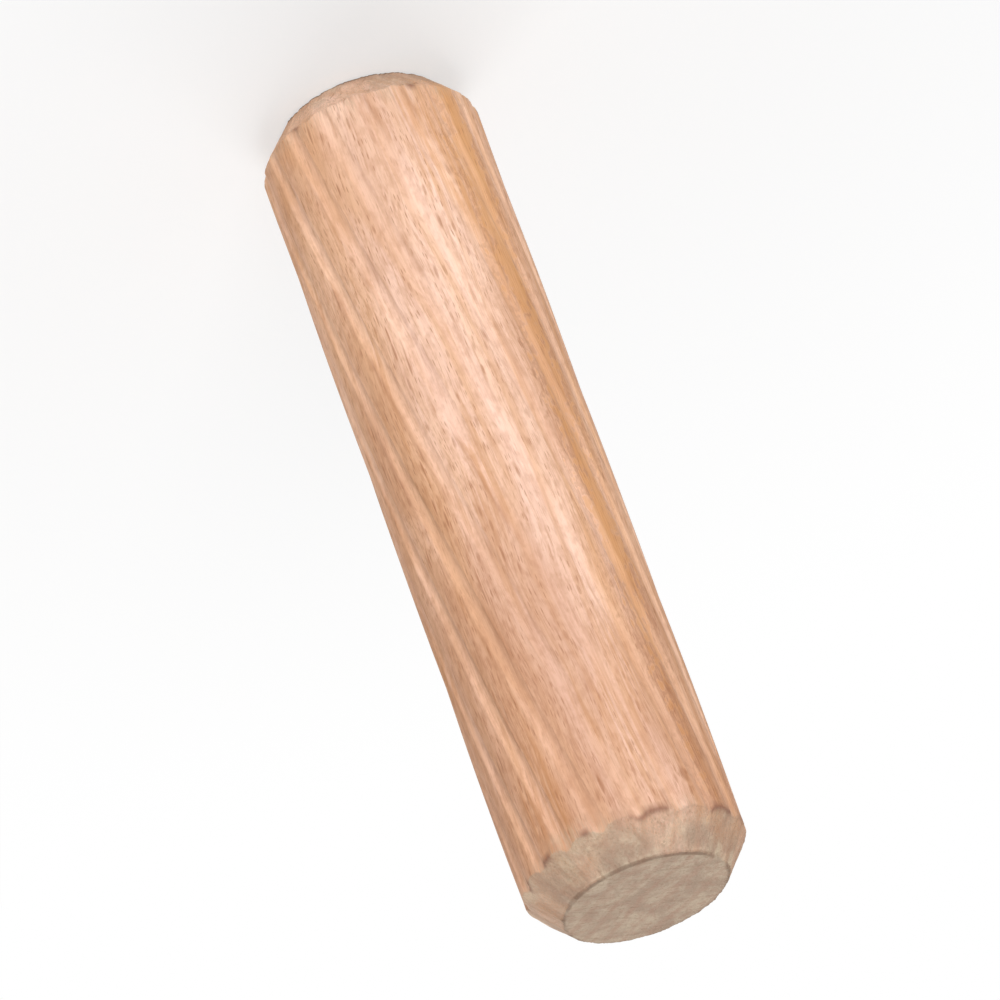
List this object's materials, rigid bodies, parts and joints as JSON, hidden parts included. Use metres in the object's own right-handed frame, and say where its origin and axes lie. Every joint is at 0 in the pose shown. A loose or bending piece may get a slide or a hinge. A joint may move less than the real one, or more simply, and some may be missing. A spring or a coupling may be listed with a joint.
{
  "type": "dowel pin",
  "caption": "Round beech dowel pin with shallow spiral flutes and chamfered ends, glued or pressed into matching drilled holes to join two wooden parts.",
  "frame": {"origin": "middle of the lower flat end face, on which the pin stands", "axes": "+Z along the pin's axis, from the lower end to the upper end; X and Y are across it"},
  "size_m": [0.01, 0.01, 0.04],
  "materials": {
    "beech": "matte"
  },
  "bodies": {
    "root": {"dowel_pin": "beech"}
  },
  "joints": []
}
